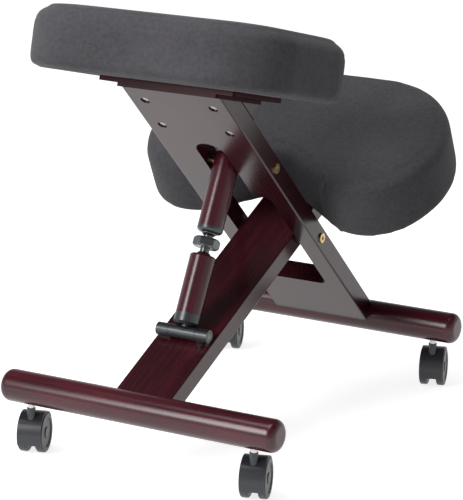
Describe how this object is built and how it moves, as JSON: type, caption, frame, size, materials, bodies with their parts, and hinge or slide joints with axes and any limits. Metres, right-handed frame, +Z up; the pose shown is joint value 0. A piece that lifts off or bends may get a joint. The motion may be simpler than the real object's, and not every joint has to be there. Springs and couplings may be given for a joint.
{
  "type": "kneeling chair",
  "caption": "Kneeling chair: a padded seat and a notched knee cushion on crossed wooden boards, set by a screw strut, on round bars with twin-wheel casters.",
  "frame": {"origin": "on the floor, below the centre of the whole chair's bounding box", "axes": "+Z up, the knee cushion towards -Y and the seat towards +Y, +X to the sitter's left"},
  "size_m": [0.514, 0.6928, 0.7132],
  "materials": {
    "wood": "dark mahogany stain under gloss lacquer",
    "cushion_fabric": "charcoal upholstery fabric over foam",
    "black_metal": "satin black",
    "steel": "bright zinc plate",
    "brass": "satin brass",
    "caster_plastic": "moulded dark grey nylon"
  },
  "bodies": {
    "knee_frame": {"rear_bar": "wood", "knee_beam": "wood", "knee_cushion": "cushion_fabric", "hinge_foot_left": "black_metal", "hinge_foot_right": "black_metal", "hinge_pin": "steel", "foot_screw": "steel", "rear_caster_stems": "steel"},
    "seat_frame": {"front_bar": "wood", "seat_frame_board": "wood", "seat_wedge_block": "wood", "seat_lower_plate": "wood", "seat_upper_plate": "wood", "seat_cushion": "cushion_fabric", "frame_screws": "steel", "pivot_barrel": "brass", "pivot_screw": "brass", "cross_pin_barrel": "brass", "cross_pin_screw": "brass", "front_caster_stems": "steel"},
    "strut_foot": {"centre_knuckle": "black_metal", "lower_ferrule": "black_metal", "lower_sleeve": "wood", "lower_thread_insert": "steel"},
    "strut_rod": {"threaded_rod": "steel"},
    "strut_nut": {"hand_nut": "steel"},
    "strut_head": {"upper_sleeve": "wood", "upper_end_cap": "black_metal"},
    "caster_rear_left": {"caster_hood_rear_left": "caster_plastic", "caster_axle_rear_left": "steel"},
    "wheel_rear_left_a": {"caster_wheel_rear_left_a": "caster_plastic"},
    "wheel_rear_left_b": {"caster_wheel_rear_left_b": "caster_plastic"},
    "caster_rear_right": {"caster_hood_rear_right": "caster_plastic", "caster_axle_rear_right": "steel"},
    "wheel_rear_right_a": {"caster_wheel_rear_right_a": "caster_plastic"},
    "wheel_rear_right_b": {"caster_wheel_rear_right_b": "caster_plastic"},
    "caster_front_left": {"caster_hood_front_left": "caster_plastic", "caster_axle_front_left": "steel"},
    "wheel_front_left_a": {"caster_wheel_front_left_a": "caster_plastic"},
    "wheel_front_left_b": {"caster_wheel_front_left_b": "caster_plastic"},
    "caster_front_right": {"caster_hood_front_right": "caster_plastic", "caster_axle_front_right": "steel"},
    "wheel_front_right_a": {"caster_wheel_front_right_a": "caster_plastic"},
    "wheel_front_right_b": {"caster_wheel_front_right_b": "caster_plastic"}
  },
  "joints": [
    {"name": "seat_pivot", "type": "hinge", "parent": "knee_frame", "child": "seat_frame", "pos_m": [0, -0.09274, 0.28921], "axis": [1, 0, 0], "range_deg": [0, 12]},
    {"name": "strut_swing", "type": "hinge", "parent": "knee_frame", "child": "strut_foot", "pos_m": [0, 0.19105, 0.19421], "axis": [1, 0, 0], "range_deg": [0, 3.2]},
    {"name": "rod_slide", "type": "slide", "parent": "strut_foot", "child": "strut_rod", "axis": [0, -0.4796, 0.8775], "range_m": [0, 0.0214]},
    {"name": "head_slide", "type": "slide", "parent": "strut_rod", "child": "strut_head", "axis": [0, -0.4796, 0.8775], "range_m": [0, 0.0214]},
    {"name": "nut_turn", "type": "hinge", "parent": "strut_rod", "child": "strut_nut", "pos_m": [0, 0.19105, 0.19421], "axis": [0, -0.4796, 0.8775], "range_deg": [0, 4300]},
    {"name": "swivel_rear_left", "type": "hinge", "parent": "knee_frame", "child": "caster_rear_left", "pos_m": [0.1986, 0.32105, 0], "axis": [0, 0, 1], "continuous": true},
    {"name": "roll_rear_left_a", "type": "hinge", "parent": "caster_rear_left", "child": "wheel_rear_left_a", "pos_m": [0.20306, 0.30673, 0.0315], "axis": [0.9548, 0.2974, 0], "continuous": true},
    {"name": "roll_rear_left_b", "type": "hinge", "parent": "caster_rear_left", "child": "wheel_rear_left_b", "pos_m": [0.20306, 0.30673, 0.0315], "axis": [0.9548, 0.2974, 0], "continuous": true},
    {"name": "swivel_rear_right", "type": "hinge", "parent": "knee_frame", "child": "caster_rear_right", "pos_m": [-0.1986, 0.32105, 0], "axis": [0, 0, 1], "continuous": true},
    {"name": "roll_rear_right_a", "type": "hinge", "parent": "caster_rear_right", "child": "wheel_rear_right_a", "pos_m": [-0.19414, 0.30673, 0.0315], "axis": [0.9548, 0.2974, 0], "continuous": true},
    {"name": "roll_rear_right_b", "type": "hinge", "parent": "caster_rear_right", "child": "wheel_rear_right_b", "pos_m": [-0.19414, 0.30673, 0.0315], "axis": [0.9548, 0.2974, 0], "continuous": true},
    {"name": "swivel_front_left", "type": "hinge", "parent": "seat_frame", "child": "caster_front_left", "pos_m": [0.1986, -0.28295, 0], "axis": [0, 0, 1], "continuous": true},
    {"name": "roll_front_left_a", "type": "hinge", "parent": "caster_front_left", "child": "wheel_front_left_a", "pos_m": [0.20306, -0.29728, 0.0315], "axis": [0.9548, 0.2974, 0], "continuous": true},
    {"name": "roll_front_left_b", "type": "hinge", "parent": "caster_front_left", "child": "wheel_front_left_b", "pos_m": [0.20306, -0.29728, 0.0315], "axis": [0.9548, 0.2974, 0], "continuous": true},
    {"name": "swivel_front_right", "type": "hinge", "parent": "seat_frame", "child": "caster_front_right", "pos_m": [-0.1986, -0.28295, 0], "axis": [0, 0, 1], "continuous": true},
    {"name": "roll_front_right_a", "type": "hinge", "parent": "caster_front_right", "child": "wheel_front_right_a", "pos_m": [-0.19414, -0.29728, 0.0315], "axis": [0.9548, 0.2974, 0], "continuous": true},
    {"name": "roll_front_right_b", "type": "hinge", "parent": "caster_front_right", "child": "wheel_front_right_b", "pos_m": [-0.19414, -0.29728, 0.0315], "axis": [0.9548, 0.2974, 0], "continuous": true}
  ],
  "couplings": [
    {"joint": "strut_swing", "follows": "seat_pivot", "ratio": 0.2396},
    {"joint": "rod_slide", "follows": "seat_pivot", "m_per_rad": 0.099495},
    {"joint": "head_slide", "follows": "seat_pivot", "m_per_rad": 0.099495},
    {"joint": "nut_turn", "follows": "seat_pivot", "ratio": 357.23}
  ]
}
